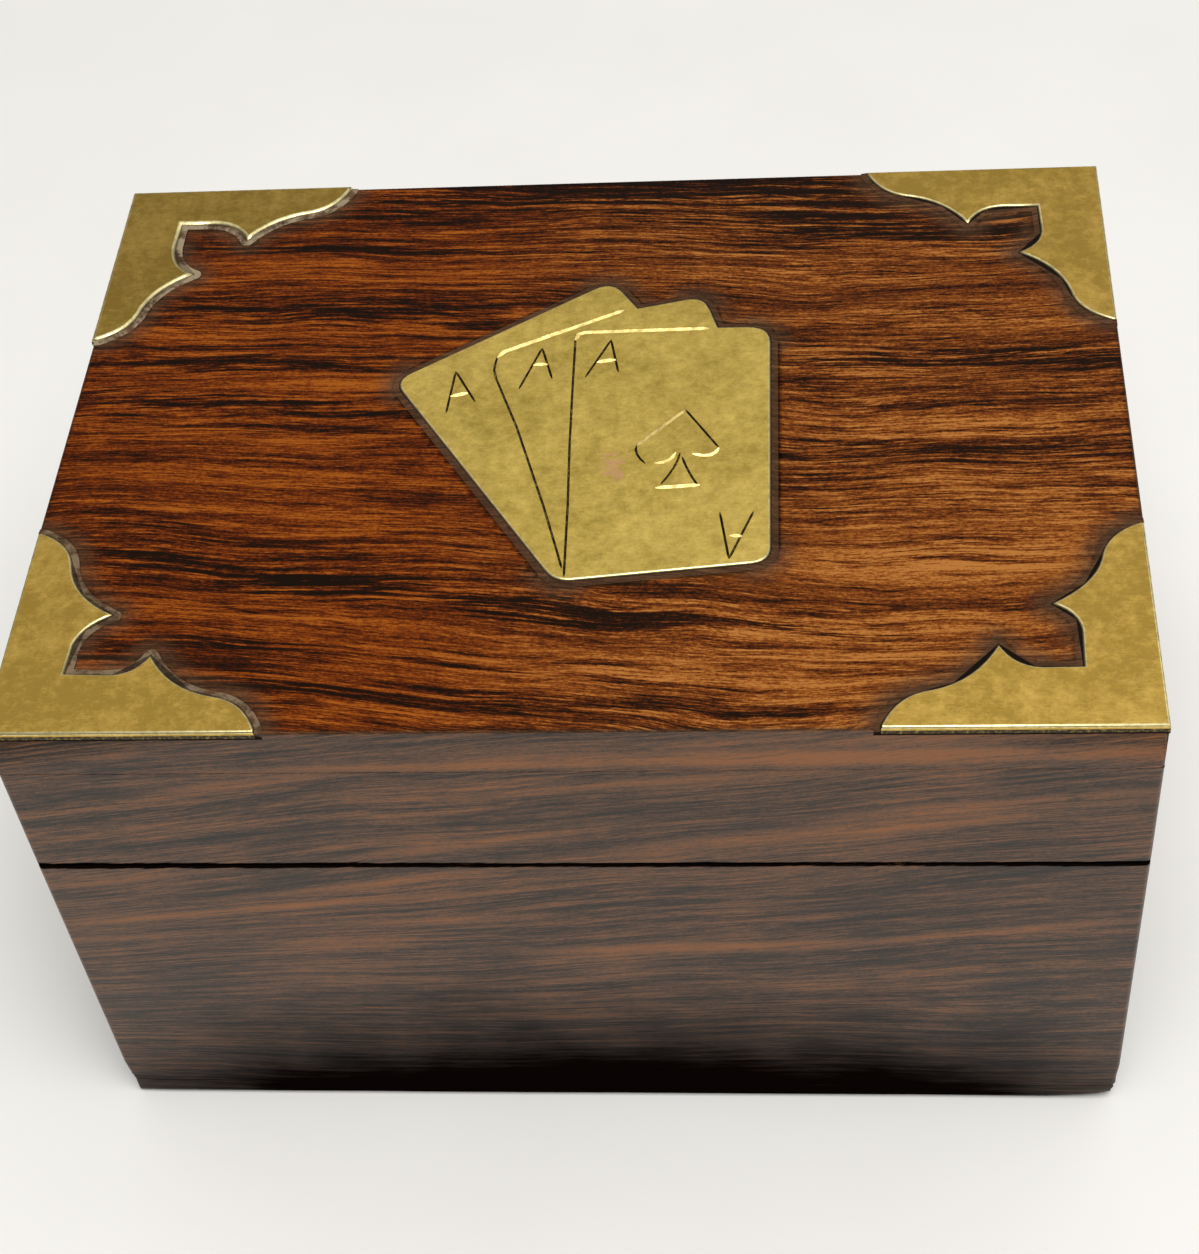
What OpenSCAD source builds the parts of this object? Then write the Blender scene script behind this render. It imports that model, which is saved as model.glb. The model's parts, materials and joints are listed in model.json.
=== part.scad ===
// Hinged wooden box for playing cards, with brass inlays let into its lid.
// Origin: centre of the underside. +X to the right, +Y to the hinges, +Z up. Millimetres.

/* [Box] */
// Width, left to right
box_w = 152; // [144:1:170]
// Depth, front to back
box_d = 110; // [106:1:126]
// Height of the base, underside to rim
base_h = 61.3; // [45:0.1:75]
// Height of the lid, rim to the top of the wood
lid_h = 28.9; // [24:0.1:40]
// Dark line between the two rims
seam_gap = 0.4; // [0.3:0.05:0.6]
// Thickness of the wall boards
wall_t = 8; // [7.5:0.5:9]
// Thickness of the board under the base
floor_t = 4; // [3:0.5:6]
// Thickness of the lid's top board
top_t = 8.3; // [5:0.1:10]

/* [Inside] */
// Thickness of the divider board
divider_t = 6; // [4:0.5:8]
// How far the divider stops below the rim
divider_drop = 3; // [1:0.5:8]
// How far the divider's ends are housed in the walls
divider_housing = 2; // [1:0.5:3]
// Radius of the finger scoop in the divider
scoop_r = 16; // [10:1:20]
// Thickness of the felt linings
felt_t = 1; // [0.5:0.1:1.5]
// Gap around the edges of each felt lining
felt_gap = 0.2; // [0.1:0.1:0.5]

/* [Inlays] */
// Thickness of the brass sheet
brass_t = 1.3; // [1.1:0.1:1.6]
// Height of the brass above the wood
brass_proud = 0.4; // [0.2:0.1:0.6]
// Thickness of the lac that the brass is bedded in
bed_t = 0.3; // [0.2:0.1:0.5]
// Width of the lac showing around each inlay
lac_w = 1; // [0.5:0.1:1.5]
// Width of the fine engraved lines
line_w = 0.36; // [0.25:0.01:0.5]
// Depth of the fine engraved lines
line_depth = 0.3; // [0.2:0.05:0.5]
// Width of the heavier chisel cuts
cut_w = 0.7; // [0.5:0.05:0.9]
// Depth of the heavier chisel cuts
cut_depth = 0.4; // [0.2:0.05:0.6]

/* [Hinges] */
// Length of each hinge
hinge_l = 25; // [20:1:32]
// Distance from the middle of the box to the middle of a hinge
hinge_x = 47; // [25:1:52]
// Thickness of a hinge leaf
leaf_t = 1; // [0.8:0.1:1.2]
// Width of the leaf let into the rim
leaf_w = 6.4; // [5.8:0.1:6.8]
// Radius of a knuckle
knuckle_r = 2.2; // [2:0.1:2.6]
// Radius of the hinge pin
pin_r = 0.9; // [0.8:0.05:1.1]
// Running clearance around the pin
pin_clear = 0.05; // [0.02:0.01:0.1]
// Length of a screw
screw_l = 7.5; // [6:0.5:10]

/* [Hidden] */
$fn = 48;

// Heights
seam_z = base_h + seam_gap / 2;
lid_rim_z = base_h + seam_gap;
wood_top_z = lid_rim_z + lid_h;
top_under_z = wood_top_z - top_t;
brass_top_z = wood_top_z + brass_proud;
brass_under_z = brass_top_z - brass_t;
pocket_z = brass_under_z - bed_t;

// Inside of the walls
in_w = box_w - 2 * wall_t;
in_d = box_d - 2 * wall_t;
divider_top_z = base_h - divider_drop;

// Hinge geometry
knuckle_gap = 0.3;
knuckle_count = 5;
knuckle_l = (hinge_l - (knuckle_count - 1) * knuckle_gap) / knuckle_count;
axis_out = knuckle_r + 0.3;
axis_y = box_d / 2 + axis_out;
bore_r = pin_r + pin_clear;
pin_end = 0.3;
mortise_gap = 0.1;
screw_x = hinge_l / 2 - 5;
screw_y = -axis_out - leaf_w / 2;
screw_r = 0.8;
screw_head_r = 1.8;
screw_head_h = 0.85;
screw_tip_l = 1.8;
screw_point_r = 0.1;
screw_gap = 0.05;
pilot_extra = 0.5;
slot_turn = 35;
overlap = 0.01;
slot_w = 0.45;
slot_depth = 0.35;

// Each corner plate: [side in x, side in y, tip along x, tip along y,
// cusp on the x arm, cusp on the y arm, inner corner, overhang past the wood].
// The cusps and the inner corner are [inward in x, inward in y] from the box's corner.
front_left = [-1, -1, 36.1, 35.7, [20.2, 13.4], [13.8, 20.4], [9.1, 10.2], 0];
front_right = [1, -1, 35.7, 34.6, [20.4, 13.7], [13.2, 20.4], [9.9, 9.8], 0];
back_left = [-1, 1, 35.2, 34.4, [20.1, 12.2], [13.0, 19.8], [9.0, 7.9], 0.5];
back_right = [1, 1, 35.2, 35.2, [20.3, 12.9], [13.2, 19.8], [9.6, 9.2], 0];

// Three fanned cards as one plate: [x, y, corner radius]
card_outline = [
    [-29.0, 10.1, 3.0], [-2.75, -29.7, 4.0], [26.35, -26.6, 3.0], [26.0, 20.0, 3.5],
    [18.3, 20.1, 0], [16.0, 27.0, 3.0], [6.3, 24.7, 0], [2.06, 31.0, 3.2]
];

// Engraved left edges of the two cards in front, then their top edges
card_sides = [
    [[-1.8, -27.4], [-2.5, -24.75], [-5, -16], [-10, -0.2], [-13.75, 9.8], [-14.25, 11.7], [-14.2, 13.2],
     [-14, 14.8]],
    [[-1.4, -28.9], [-1.7, -16], [-2.2, -3.5], [-2.5, 8.2], [-2.7, 18.2]]
];
card_tops = [
    [[-14.1, 14.5], [-13.1, 15.7], [4.2, 24.2]],
    [[-2.7, 17.9], [-2.3, 19.1], [-1.4, 19.5], [16.9, 19.8]]
];
// Engraved index letters: [apex, foot, foot, start of the bar, end of the bar]
aces = [
    [[-19.9, 11.7], [-16.5, 5.25], [-20.5, 3.0], [-20.2, 6.5], [-17.7, 7.1]],
    [[-7.5, 16.3], [-10.3, 7.7], [-5.6, 9.7], [-8.6, 12.7], [-6.5, 12.85]],
    [[2.6, 17.7], [-0.8, 9.8], [4.0, 10.75], [0.75, 13.0], [3.5, 13.5]],
    [[20.7, -26.1], [19.3, -17.5], [23.9, -17.4], [20.7, -21.8], [22.4, -21.9]]
];
// Engraved spade: each curve is [start, bend, end]
spade_point = [14.0, 2.7];
spade_curves = [
    [[7.3, -4.3], [6.9, -6.0], [8.7, -7.9]], [[10.0, -7.8], [12.2, -7.9], [12.9, -5.8]],
    [[18.9, -5.0], [18.4, -7.3], [15.2, -6.1]], [[13.5, -5.9], [13.2, -8.6], [11.0, -12.0]],
    [[13.8, -6.7], [14.6, -9.6], [16.2, -12.4]]
];
spade_foot = [[10.3, -12.6], [16.4, -12.2]];
// Length and end width of a cut's taper, and the width of the spade's chisel cuts
taper_l = 0.7;
end_share = 0.35;
spade_share = 0.75;

// --- Curves -----------------------------------------------------------------------------

// Points of a quadratic curve, without its last point
function curve(a, b, c, steps = 8) =
    [for (i = [0:steps - 1]) let (t = i / steps) (1 - t) * (1 - t) * a + 2 * t * (1 - t) * b + t * t * c];

function swap(p) = [p[1], p[0]];

function swapped(pts) = [for (i = [len(pts) - 1:-1:0]) swap(pts[i])];

// One arm of a corner plate, from its tip to its inner corner: [along, across]
function arm(tip, cusp, inner, over) = concat(
    [[tip, -over]],
    curve([tip, 0.6], [tip - 2, 5.5], [tip - 6.5, 6.2]),
    curve([tip - 6.5, 6.2], [cusp[0] + 3.2, 7.5], cusp),
    curve(cusp, [cusp[0] - 2, cusp[1] - 4.4], [inner[0] + 3.9, inner[1]]),
    [inner]
);

// The outline of a corner plate, from the box's corner inwards
function plate_points(p) =
    let (y_arm = swapped(arm(p[3], swap(p[5]), swap(p[6]), p[7])))
    concat([[-p[7], -p[7]]], arm(p[2], p[4], p[6], p[7]), [for (q = y_arm) if (norm(q - p[6]) > 0.01) q]);

// The point at distance d from a towards b
function towards(a, b, d) = a + (b - a) * d / norm(b - a);

// The points of a line, with one more near each end, where its taper starts
function with_tapers(pts) = let (n = len(pts)) concat(
    [pts[0], towards(pts[0], pts[1], taper_l)],
    [for (i = [1:1:n - 2]) pts[i]],
    [towards(pts[n - 1], pts[n - 2], taper_l), pts[n - 1]]
);

// The outline of a band through the points, half wide on each side and thinner at its ends
function band(pts, half) =
    let (
        n = len(pts),
        side = [for (i = [0:n - 1])
            let (
                before = i == 0 ? pts[1] - pts[0] : pts[i] - pts[i - 1],
                after = i == n - 1 ? before : pts[i + 1] - pts[i],
                u = before / norm(before),
                bisector = u + after / norm(after),
                t = bisector / norm(bisector)
            ) [-t[1], t[0]] * half * (i == 0 || i == n - 1 ? end_share : 1) / (t * u)]
    ) concat([for (i = [0:n - 1]) pts[i] + side[i]], [for (i = [n - 1:-1:0]) pts[i] - side[i]]);

// The points of a rounded corner b, between a and c
function rounded(a, b, c, r, steps = 6) =
    r == 0 ? [b] :
    let (
        u = (a - b) / norm(a - b),
        v = (c - b) / norm(c - b),
        half = acos(u * v) / 2,
        cut = r / tan(half)
    ) concat(curve(b + u * cut, b, b + v * cut, steps), [b + v * cut]);

function flat(p) = [p[0], p[1]];

function rounded_outline(pts) = let (n = len(pts)) [
    for (i = [0:n - 1])
        each rounded(flat(pts[(i + n - 1) % n]), flat(pts[i]), flat(pts[(i + 1) % n]), pts[i][2])
];

// --- Wood -------------------------------------------------------------------------------

// A board from its low corner to its high corner
module board(low, high) {
    translate(low) cube(high - low);
}

module floor_panel() {
    color("#4a2c20") board([-box_w / 2, -box_d / 2, 0], [box_w / 2, box_d / 2, floor_t]);
}

module divider_solid() {
    board([-divider_t / 2, -in_d / 2 - divider_housing, floor_t],
          [divider_t / 2, in_d / 2 + divider_housing, divider_top_z]);
}

// Front or back board of the base: side is -1 or 1
module long_wall(side, low_z, high_z) {
    y = side * (box_d - wall_t) / 2;
    board([-box_w / 2, y - wall_t / 2, low_z], [box_w / 2, y + wall_t / 2, high_z]);
}

// Left or right board, between the long ones
module short_wall(side, low_z, high_z) {
    x = side * (box_w - wall_t) / 2;
    board([x - wall_t / 2, -in_d / 2, low_z], [x + wall_t / 2, in_d / 2, high_z]);
}

// What the hinges need cut from the rim: the leaf's mortise and the screws' pilot holes.
// Written for the base; the lid's is its mirror image.
module hinge_cut() {
    for (side = [-1, 1]) translate([side * hinge_x, axis_y, seam_z]) {
        translate([-hinge_l / 2 - mortise_gap, -axis_out - leaf_w - mortise_gap, -seam_gap / 2 - leaf_t])
            cube([hinge_l + 2 * mortise_gap, leaf_w + mortise_gap + 1, leaf_t + 1]);
        for (sx = [-1, 1]) translate([sx * screw_x, screw_y, -seam_gap / 2 - screw_l - pilot_extra])
            cylinder(r = screw_r + screw_gap, h = screw_l);
    }
}

module base_front_wall() {
    color("#54372c") difference() {
        long_wall(-1, floor_t, base_h);
        divider_solid();
    }
}

module base_back_wall() {
    color("#54372c") difference() {
        long_wall(1, floor_t, base_h);
        divider_solid();
        hinge_cut();
    }
}

module base_left_wall() {
    color("#54372c") short_wall(-1, floor_t, base_h);
}

module base_right_wall() {
    color("#54372c") short_wall(1, floor_t, base_h);
}

module centre_divider() {
    color("#6b4230") difference() {
        divider_solid();
        translate([-divider_t, 0, divider_top_z]) rotate([0, 90, 0])
            cylinder(r = scoop_r, h = 2 * divider_t);
    }
}

module lid_front_wall() {
    color("#5c3c30") long_wall(-1, lid_rim_z, top_under_z);
}

module lid_back_wall() {
    color("#5c3c30") difference() {
        long_wall(1, lid_rim_z, top_under_z);
        about_seam() hinge_cut();
    }
}

module lid_left_wall() {
    color("#5c3c30") short_wall(-1, lid_rim_z, top_under_z);
}

module lid_right_wall() {
    color("#5c3c30") short_wall(1, lid_rim_z, top_under_z);
}

module lid_top_board() {
    color("#7a3a1c") difference() {
        board([-box_w / 2, -box_d / 2, top_under_z], [box_w / 2, box_d / 2, wood_top_z]);
        for (p = [front_left, front_right, back_left, back_right])
            translate([0, 0, pocket_z]) linear_extrude(top_t) widened() corner_shape(p);
        translate([0, 0, pocket_z]) linear_extrude(top_t) widened() card_shape();
    }
}

// --- Linings ----------------------------------------------------------------------------

// Floor lining of one compartment: side is -1 or 1
module floor_felt(side) {
    low_x = divider_t / 2 + felt_gap;
    felt_w = in_w / 2 - felt_gap - low_x;
    translate([side * (low_x + felt_w / 2), 0, floor_t + felt_t / 2])
        cube([felt_w, in_d - 2 * felt_gap, felt_t], center = true);
}

module felt_floor_left() {
    color("#1f4a2e") floor_felt(-1);
}

module felt_floor_right() {
    color("#1f4a2e") floor_felt(1);
}

module felt_lid() {
    color("#1f4a2e") translate([0, 0, top_under_z - felt_t / 2])
        cube([in_w - 2 * felt_gap, in_d - 2 * felt_gap, felt_t], center = true);
}

// --- Inlays -----------------------------------------------------------------------------

// Turns a shape drawn inwards from a front left corner to the corner at these sides
module turned_to(side_x, side_y) {
    mirror([side_x > 0 ? 1 : 0, 0]) mirror([0, side_y > 0 ? 1 : 0]) children();
}

module corner_shape(p) {
    translate([p[0] * box_w / 2, p[1] * box_d / 2]) turned_to(p[0], p[1]) polygon(plate_points(p));
}

// The pocket that an inlay's shape needs
module widened() {
    offset(r = lac_w, $fn = 16) children();
}

module card_shape() {
    polygon(rounded_outline(card_outline));
}

// A cut line w wide through the points
module stroke(pts, w = line_w) {
    polygon(band(with_tapers(pts), w / 2));
}

// The spade's curve with this number, w wide
module spade_curve(i, w = line_w) {
    c = spade_curves[i];
    stroke(concat(curve(c[0], c[1], c[2], 4), [c[2]]), w);
}

module fine_lines() {
    for (line = card_sides) stroke(line);
    for (a = aces) {
        stroke([a[0], a[1]]);
        stroke([a[0], a[2]]);
    }
    stroke([spade_point, spade_curves[2][0]]);
    for (i = [0, 3, 4]) spade_curve(i);
}

module chisel_cuts() {
    for (line = card_tops) stroke(line, cut_w);
    for (a = aces) stroke([a[3], a[4]], cut_w);
    stroke([spade_point, spade_curves[0][0]], spade_share * cut_w);
    for (i = [1, 2]) spade_curve(i, spade_share * cut_w);
    stroke(spade_foot, cut_w);
}

module corner_plate(p) {
    color("#b08d3e") translate([0, 0, brass_under_z]) linear_extrude(brass_t) corner_shape(p);
}

module corner_plate_front_left() {
    corner_plate(front_left);
}

module corner_plate_front_right() {
    corner_plate(front_right);
}

module corner_plate_back_left() {
    corner_plate(back_left);
}

module corner_plate_back_right() {
    corner_plate(back_right);
}

module card_plate() {
    color("#b08d3e") difference() {
        translate([0, 0, brass_under_z]) linear_extrude(brass_t) card_shape();
        translate([0, 0, brass_top_z - line_depth]) linear_extrude(brass_t) fine_lines();
        translate([0, 0, brass_top_z - cut_depth]) linear_extrude(brass_t) chisel_cuts();
    }
}

// The lac that beds one inlay and fills the gap around it
module lac() {
    color("#2f2320") difference() {
        translate([0, 0, pocket_z]) linear_extrude(wood_top_z - pocket_z) intersection() {
            widened() children();
            square([box_w, box_d], center = true);
        }
        translate([0, 0, brass_under_z]) linear_extrude(brass_t) children();
    }
}

module lac_front_left() {
    lac() corner_shape(front_left);
}

module lac_front_right() {
    lac() corner_shape(front_right);
}

module lac_back_left() {
    lac() corner_shape(back_left);
}

module lac_back_right() {
    lac() corner_shape(back_right);
}

module lac_card() {
    lac() card_shape();
}

// --- Hinges -----------------------------------------------------------------------------

// Mirrors what is drawn for the base to the lid, about the middle of the seam
module about_seam() {
    translate([0, 0, seam_z]) mirror([0, 0, 1]) translate([0, 0, -seam_z]) children();
}

module at_hinge(side) {
    translate([side * hinge_x, axis_y, seam_z]) children();
}

module along_x(r, h) {
    rotate([0, 90, 0]) cylinder(r = r, h = h);
}

// The base leaf of a hinge about its pin. Its knuckles start at number first and every other follows.
module leaf(first) {
    color("#a88238") difference() {
        union() {
            translate([-hinge_l / 2, -axis_out - leaf_w, -seam_gap / 2 - leaf_t])
                cube([hinge_l, leaf_w, leaf_t]);
            for (i = [first:2:knuckle_count - 1])
                translate([-hinge_l / 2 + i * (knuckle_l + knuckle_gap), 0, 0]) {
                    translate([0, -axis_out - 0.5, -seam_gap / 2 - leaf_t])
                        cube([knuckle_l, axis_out + 0.5, leaf_t]);
                    along_x(knuckle_r, knuckle_l);
                }
        }
        translate([-hinge_l, 0, 0]) along_x(bore_r, 2 * hinge_l);
        for (sx = [-1, 1]) translate([sx * screw_x, screw_y, -seam_gap / 2]) {
            translate([0, 0, -screw_head_h])
                cylinder(r1 = screw_r + screw_gap, r2 = screw_head_r + screw_gap, h = screw_head_h + overlap);
            translate([0, 0, -2 * leaf_t]) cylinder(r = screw_r + screw_gap, h = 2 * leaf_t);
        }
    }
}

// The two screws of a leaf, about the pin
module screws() {
    color("#c09a4a") for (sx = [-1, 1]) translate([sx * screw_x, screw_y, -seam_gap / 2])
        difference() {
            union() {
                translate([0, 0, -screw_head_h]) cylinder(r1 = screw_r, r2 = screw_head_r, h = screw_head_h);
                translate([0, 0, screw_tip_l - screw_l])
                    cylinder(r = screw_r, h = screw_l - screw_tip_l - screw_head_h + overlap);
                translate([0, 0, -screw_l]) cylinder(r1 = screw_point_r, r2 = screw_r, h = screw_tip_l);
            }
            rotate(sx * slot_turn) translate([-2 * screw_head_r, -slot_w / 2, -slot_depth])
                cube([4 * screw_head_r, slot_w, 1]);
        }
}

module pin(side) {
    color("#8f7a4a") at_hinge(side) translate([-hinge_l / 2 - pin_end, 0, 0])
        along_x(pin_r, hinge_l + 2 * pin_end);
}

module hinge_left_base_leaf() {
    at_hinge(-1) leaf(0);
}

module hinge_left_lid_leaf() {
    about_seam() at_hinge(-1) leaf(1);
}

module hinge_left_pin() {
    pin(-1);
}

module hinge_left_base_screws() {
    at_hinge(-1) screws();
}

module hinge_left_lid_screws() {
    about_seam() at_hinge(-1) screws();
}

module hinge_right_base_leaf() {
    at_hinge(1) leaf(0);
}

module hinge_right_lid_leaf() {
    about_seam() at_hinge(1) leaf(1);
}

module hinge_right_pin() {
    pin(1);
}

module hinge_right_base_screws() {
    at_hinge(1) screws();
}

module hinge_right_lid_screws() {
    about_seam() at_hinge(1) screws();
}

floor_panel();
base_front_wall();
base_back_wall();
base_left_wall();
base_right_wall();
centre_divider();
felt_floor_left();
felt_floor_right();
lid_front_wall();
lid_back_wall();
lid_left_wall();
lid_right_wall();
lid_top_board();
felt_lid();
corner_plate_front_left();
corner_plate_front_right();
corner_plate_back_left();
corner_plate_back_right();
card_plate();
lac_front_left();
lac_front_right();
lac_back_left();
lac_back_right();
lac_card();
hinge_left_base_leaf();
hinge_left_lid_leaf();
hinge_left_pin();
hinge_left_base_screws();
hinge_left_lid_screws();
hinge_right_base_leaf();
hinge_right_lid_leaf();
hinge_right_pin();
hinge_right_base_screws();
hinge_right_lid_screws();
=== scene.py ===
import json
import math
from contextlib import contextmanager

import bmesh
import bpy
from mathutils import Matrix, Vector
from mathutils.kdtree import KDTree


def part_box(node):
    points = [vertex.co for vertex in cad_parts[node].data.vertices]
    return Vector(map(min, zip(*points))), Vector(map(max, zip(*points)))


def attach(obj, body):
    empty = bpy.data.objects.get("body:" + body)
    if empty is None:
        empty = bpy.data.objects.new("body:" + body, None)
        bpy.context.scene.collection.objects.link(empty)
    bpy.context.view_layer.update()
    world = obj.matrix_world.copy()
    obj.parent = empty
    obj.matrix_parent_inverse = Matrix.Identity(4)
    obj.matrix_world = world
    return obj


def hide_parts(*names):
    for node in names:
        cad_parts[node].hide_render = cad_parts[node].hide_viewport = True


bl_info = {
    "name": "Playing-card box",
    "version": (1, 0, 0),
    "blender": (4, 5, 0),
    "location": "3D View > Sidebar > Card box",
    "description": "Models and finishes a hinged wooden card box with brass inlays",
    "category": "Object",
}

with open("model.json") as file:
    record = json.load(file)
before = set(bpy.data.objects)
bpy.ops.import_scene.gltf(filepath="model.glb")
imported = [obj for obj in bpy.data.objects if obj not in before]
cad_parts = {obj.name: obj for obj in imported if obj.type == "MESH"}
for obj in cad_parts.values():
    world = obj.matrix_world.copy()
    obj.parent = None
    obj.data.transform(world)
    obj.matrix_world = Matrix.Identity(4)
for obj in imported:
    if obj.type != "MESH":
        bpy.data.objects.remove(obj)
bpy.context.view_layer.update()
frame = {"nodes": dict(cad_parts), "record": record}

MM = 0.001
# Two places this near are one level or face, and two vertices this near are one vertex
TINY = 0.01 * MM
MERGE = 0.001 * MM

# Levels and faces of the box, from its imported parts
OUT_X, OUT_Y, WOOD_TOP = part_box("lid_top_board")[1]
BOARD_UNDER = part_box("lid_top_board")[0].z
BASE_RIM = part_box("base_front_wall")[1].z
LID_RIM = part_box("lid_front_wall")[0].z
FLOOR_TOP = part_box("floor_panel")[1].z
BRASS_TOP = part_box("card_plate")[1].z
BRASS_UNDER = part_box("card_plate")[0].z
WALL = OUT_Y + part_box("base_front_wall")[1].y
# Brass sides are dark below this level
SIDE_DARK = WOOD_TOP - 0.25 * MM

LONG_WALLS = ("base_front_wall", "base_back_wall", "lid_front_wall", "lid_back_wall")
SHORT_WALLS = ("base_left_wall", "base_right_wall", "lid_left_wall", "lid_right_wall")
CORNERS = ("front_left", "front_right", "back_left", "back_right")
HINGES = ("hinge_left", "hinge_right")


def length(label, text, usual, low, high):
    """A length in millimetres with its limits."""
    return bpy.props.FloatProperty(
        name=label, description=text, default=usual * MM, min=low * MM, max=high * MM, unit="LENGTH")


class CardBoxSizes(bpy.types.PropertyGroup):
    corner_round: length("Upright edges", "Rounding of the box's upright edges", 0.7, 0.1, 2)
    foot_round: length("Foot edges", "Rounding of the worn edges that the box stands on", 1.3, 0.1, 2)
    top_round: length("Top edges", "Rounding of the lid board's upper edges", 0.35, 0.1, 2)
    rim_round: length("Rim edges", "Rounding of the two rims where the lid meets the base", 0.3, 0.1, 1)
    joint_round: length("Glued edges", "Rounding of edges that are glued to the next board", 0.1, 0.05, 0.3)
    ripple: length("Ripple", "Height of the ripple that hand planing leaves along a board", 0.14, 0, 0.5)
    brass_round: length("Brass edges", "Rounding of the inlays' filed edges", 0.35, 0.05, 0.6)
    lac_rise: length("Lac rise", "How far the lac climbs the edge of an inlay", 0.16, 0, 0.4)
    stain_reach: length(
        "Stain reach", "How far lac and old polish darken the wood around an inlay", 3.0, 0.5, 6)
    nap: length("Felt nap", "Unevenness of the felt's surface", 0.25, 0, 0.5)
    hinge_round: length("Hinge edges", "Rounding of the hinge leaves' edges", 0.12, 0.02, 0.3)


def colour(label, text, default):
    return bpy.props.FloatVectorProperty(
        name=label, description=text, default=default, min=0, max=1, size=3, subtype="COLOR")


class CardBoxColours(bpy.types.PropertyGroup):
    top_black: colour("Lid black", "Blackest streaks of the lid board", (0.004, 0.001, 0.0005))
    top_dark: colour("Lid dark", "Dark grain of the lid board", (0.048, 0.008, 0.0012))
    top_mid: colour("Lid brown", "Main brown of the lid board", (0.140, 0.031, 0.0035))
    top_warm: colour("Lid orange", "Warm grain of the lid board", (0.290, 0.085, 0.012))
    top_light: colour("Lid pale", "Palest flecks of the lid board", (0.430, 0.165, 0.035))
    # Wall black also paints the shade at the walls' foot, along the seam and where the lac meets the brass.
    wall_black: colour("Wall black", "Worn foot and blackest grain of the walls", (0.004, 0.002, 0.0015))
    wall_dark: colour("Wall dark", "Dark grain of the walls", (0.036, 0.015, 0.007))
    wall_mid: colour("Wall brown", "Main brown of the walls", (0.118, 0.053, 0.024))
    wall_warm: colour("Wall red", "Warm streaks of the walls", (0.290, 0.112, 0.040))
    brass_olive: colour("Brass olive", "Aged parts of the inlays", (0.50, 0.355, 0.07))
    brass_gold: colour("Brass gold", "Cleaner parts of the inlays", (0.95, 0.69, 0.17))
    brass_bright: colour("Brass edge", "Filed and rubbed edges", (0.90, 0.77, 0.38))
    brass_cut: colour("Brass cut", "Fresh faces of the chisel cuts", (0.80, 0.62, 0.23))
    brass_tarnish: colour("Brass tarnish", "Dirt and tarnish in the cuts", (0.030, 0.020, 0.008))
    brass_stain: colour("Brass stain", "Coppery stain on the cards", (0.80, 0.42, 0.25))
    lac: colour("Lac", "Lac around the inlays", (0.066, 0.031, 0.015))
    dust: colour("Dust", "Dust and old polish set in the lac", (0.34, 0.27, 0.17))
    felt: colour("Felt", "Linings", (0.018, 0.085, 0.040))
    cloth: colour("Floor", "Surface that the box stands on", (0.95, 0.935, 0.90))


# --- Modelling helpers ---


def pick(piece):
    """Selects one piece alone and makes it active."""
    if bpy.context.mode != "OBJECT":
        bpy.ops.object.mode_set(mode="OBJECT")
    bpy.ops.object.select_all(action="DESELECT")
    piece.select_set(True)
    bpy.context.view_layer.objects.active = piece


@contextmanager
def editing(piece, mode="FACE"):
    """Edit mode on one piece, with nothing selected."""
    pick(piece)
    bpy.ops.object.mode_set(mode="EDIT")
    bpy.ops.mesh.select_mode(type=mode)
    bpy.ops.mesh.select_all(action="DESELECT")
    yield bmesh.from_edit_mesh(piece.data)
    bpy.ops.object.mode_set(mode="OBJECT")


def select_where(shape, elements, test):
    """Selects the vertices, edges or faces that pass a test."""
    for element in elements:
        if test(element):
            element.select_set(True)
    shape.select_flush_mode()


def middle(edge):
    return (edge.verts[0].co + edge.verts[1].co) / 2


def mark(piece, name, values, domain="POINT"):
    """Writes one value for each vertex or edge of a piece."""
    piece.data.attributes.new(name, "FLOAT", domain).data.foreach_set("value", values)


def bisect(place, axis):
    """Divides what is selected at a place along an axis."""
    line = Vector([axis == i for i in range(3)])
    bpy.ops.mesh.bisect(plane_co=place * line, plane_no=line, threshold=MERGE)


def cut_across(piece, *places, axis):
    """Divides the whole piece at these places along an axis."""
    for place in places:
        with editing(piece):
            bpy.ops.mesh.select_all(action="SELECT")
            bisect(place, axis)


def apply_modifier(piece, kind, **settings):
    modifier = piece.modifiers.new(kind.title(), kind)
    for name, value in settings.items():
        setattr(modifier, name, value)
    pick(piece)
    bpy.ops.object.modifier_apply(modifier=modifier.name)


def placed(name):
    """Names the object just made and puts its place in its mesh."""
    piece = bpy.context.object
    piece.name = name
    bpy.ops.object.transform_apply(location=True, rotation=True, scale=True)
    return piece


def block(name, low, high):
    """A box from its low corner to its high corner."""
    low, high = Vector(low), Vector(high)
    bpy.ops.object.select_all(action="DESELECT")
    bpy.ops.mesh.primitive_cube_add(size=1, location=(low + high) / 2, scale=high - low)
    return placed(name)


def rod(name, start, radius, length, vertices=24, upright=False):
    """A cylinder from its start, to the right or upwards."""
    way = Vector((not upright, 0, upright))
    bpy.ops.object.select_all(action="DESELECT")
    bpy.ops.mesh.primitive_cylinder_add(
        vertices=vertices, radius=radius, depth=length, location=Vector(start) + way * length / 2,
        rotation=(0, 0 if upright else math.pi / 2, 0))
    return placed(name)


def cut(piece, cutter):
    """Takes the cutter's shape out of a piece and removes the cutter."""
    apply_modifier(piece, "BOOLEAN", operation="DIFFERENCE", solver="EXACT", object=cutter)
    bpy.data.objects.remove(cutter)


def ruffle(piece, name, size, height, **settings):
    """Makes a surface uneven, in waves of a size and a height."""
    clouds = bpy.data.textures.new(name, "CLOUDS")
    clouds.noise_scale = size
    apply_modifier(piece, "DISPLACE", texture=clouds, strength=height, mid_level=0.5,
                   texture_coords="LOCAL", **settings)


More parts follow.
